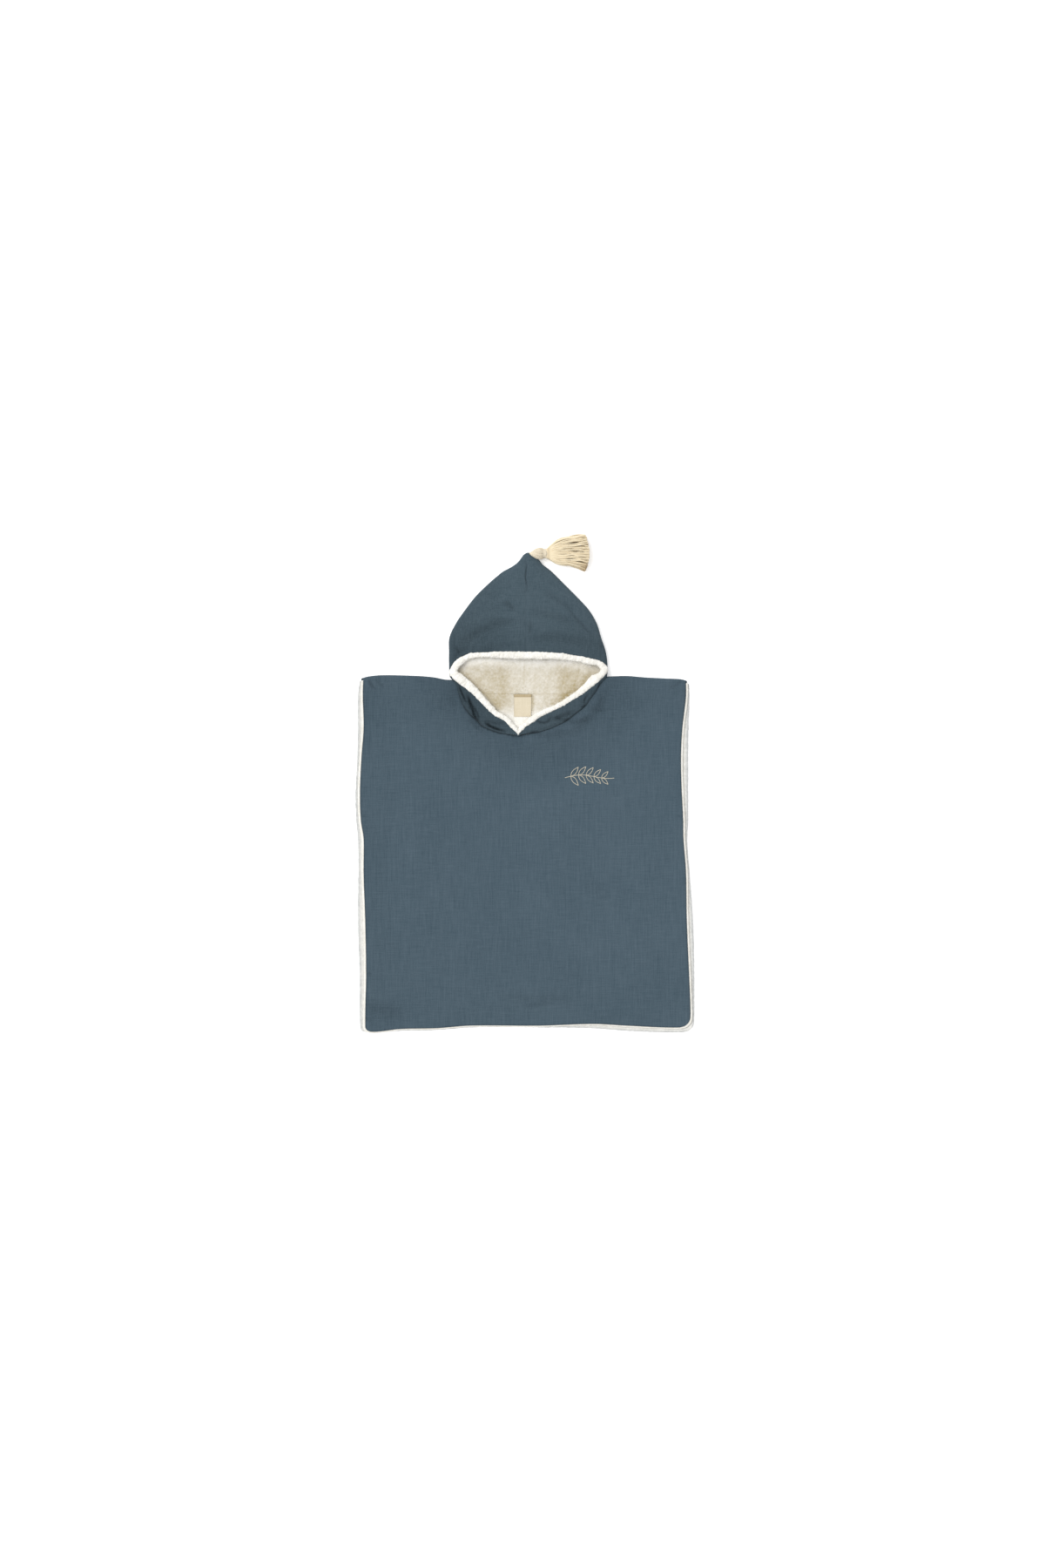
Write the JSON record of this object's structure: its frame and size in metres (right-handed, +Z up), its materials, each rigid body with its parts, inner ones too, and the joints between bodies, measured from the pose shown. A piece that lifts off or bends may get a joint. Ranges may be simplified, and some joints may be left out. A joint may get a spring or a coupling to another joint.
{
  "type": "child's hooded bath poncho, laid flat",
  "caption": "Terry-lined hooded poncho for a child, laid flat on its back: straight front and back panels open down the sides, a pointed hood with a terry roll round the face, and a yarn tassel.",
  "frame": {"origin": "middle of the part's box in X and Y, on the surface that the garment lies on", "axes": "+Z up from the surface, +Y from the hem towards the hood, +X to the right as the laid-out front is seen"},
  "size_m": [0.6074, 0.8914, 0.0273],
  "materials": {
    "blue_gauze": "matt double gauze, blue-grey, faint crinkle",
    "cream_terry": "looped cotton towelling, cream",
    "label_cotton": "plain woven cotton tape, ecru",
    "tassel_yarn": "twisted cotton yarn, ecru"
  },
  "bodies": {
    "root": {"back_outer": "blue_gauze", "back_lining": "cream_terry", "front_lining": "cream_terry", "front_outer": "blue_gauze", "hood_left_outer": "blue_gauze", "hood_left_lining": "cream_terry", "hood_right_outer": "blue_gauze", "hood_right_lining": "cream_terry", "label": "label_cotton", "tassel": "tassel_yarn", "tassel_binding": "tassel_yarn"}
  },
  "joints": []
}
